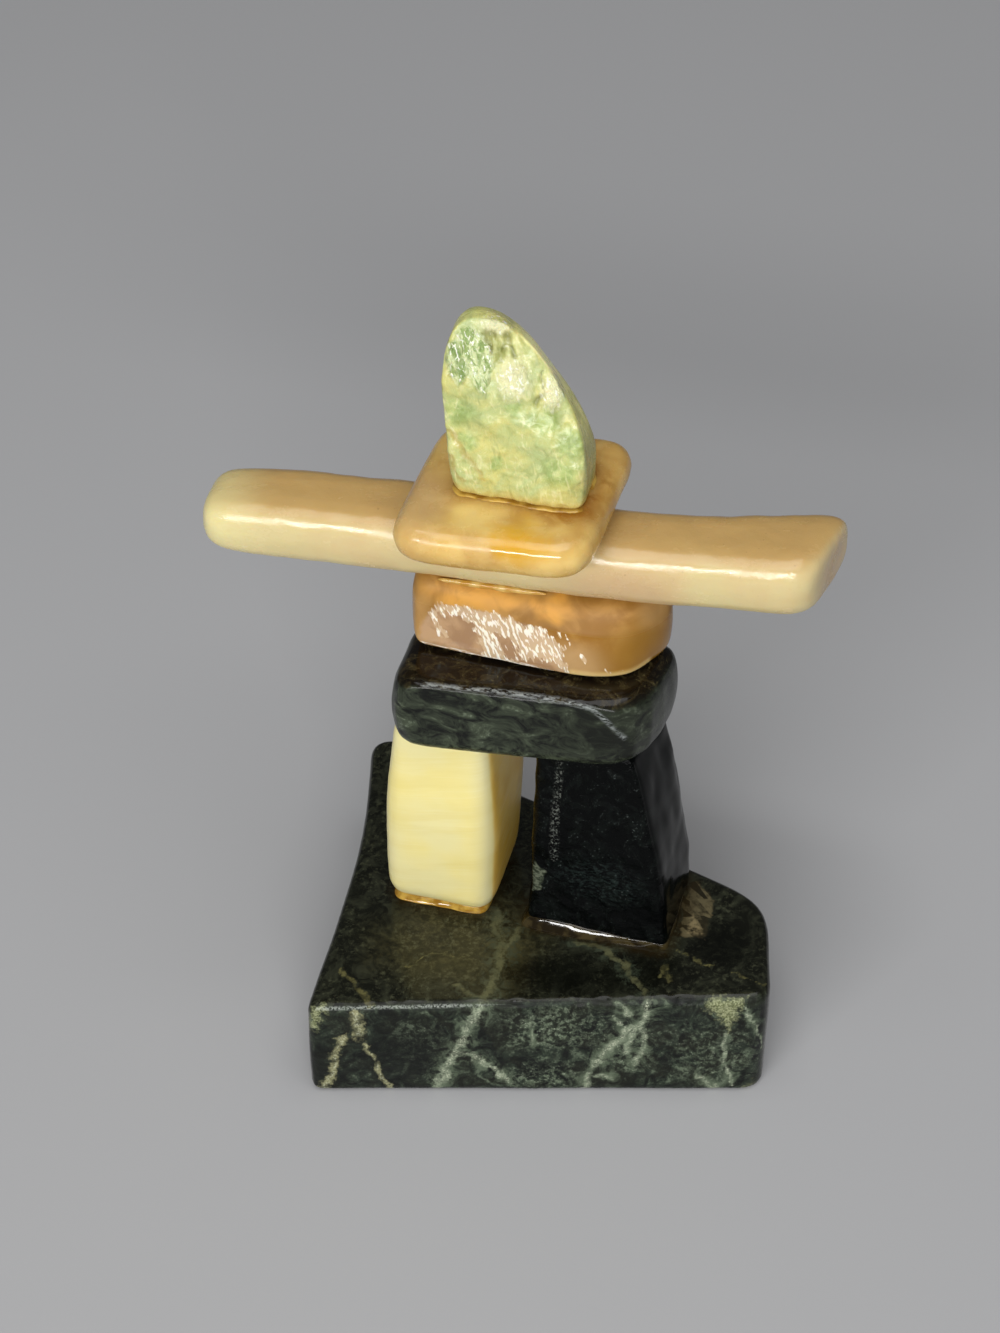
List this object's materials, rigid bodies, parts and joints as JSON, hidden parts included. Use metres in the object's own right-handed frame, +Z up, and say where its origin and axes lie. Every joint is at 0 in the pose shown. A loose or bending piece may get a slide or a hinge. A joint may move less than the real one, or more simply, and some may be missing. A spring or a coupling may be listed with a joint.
{
  "type": "stone inukshuk figure",
  "caption": "Small standing inukshuk of polished stones glued one on another: a sawn slab base, short legs, hips, torso, a long bar for arms, a neck slab and an upright head.",
  "frame": {"origin": "middle of the base's flat underside", "axes": "+Z up through the figure, X along the base's sawn front face, +Y towards the back"},
  "size_m": [0.0739, 0.0474, 0.0988],
  "materials": {
    "serpentine": "polished dark green serpentine with pale veins, sawn on its front",
    "cream_calcite": "satin cream stone with faint bands",
    "black_stone": "polished black stone with a green hint",
    "dark_serpentine": "polished dark green-black stone with grey-green streaks",
    "amber_calcite": "glossy honey-orange stone, chipped low on the front",
    "peach_calcite": "glossy pale honey stone",
    "honey_calcite": "glossy translucent honey stone with a golden cloud",
    "green_stone": "glossy mottled pale green stone, chipped and pitted",
    "glue": "clear amber glue that has oozed from the joints"
  },
  "bodies": {
    "root": {"base": "serpentine", "left_leg": "cream_calcite", "right_leg": "black_stone", "lintel": "dark_serpentine", "torso": "amber_calcite", "arms": "peach_calcite", "neck_slab": "honey_calcite", "head": "green_stone"}
  },
  "joints": []
}
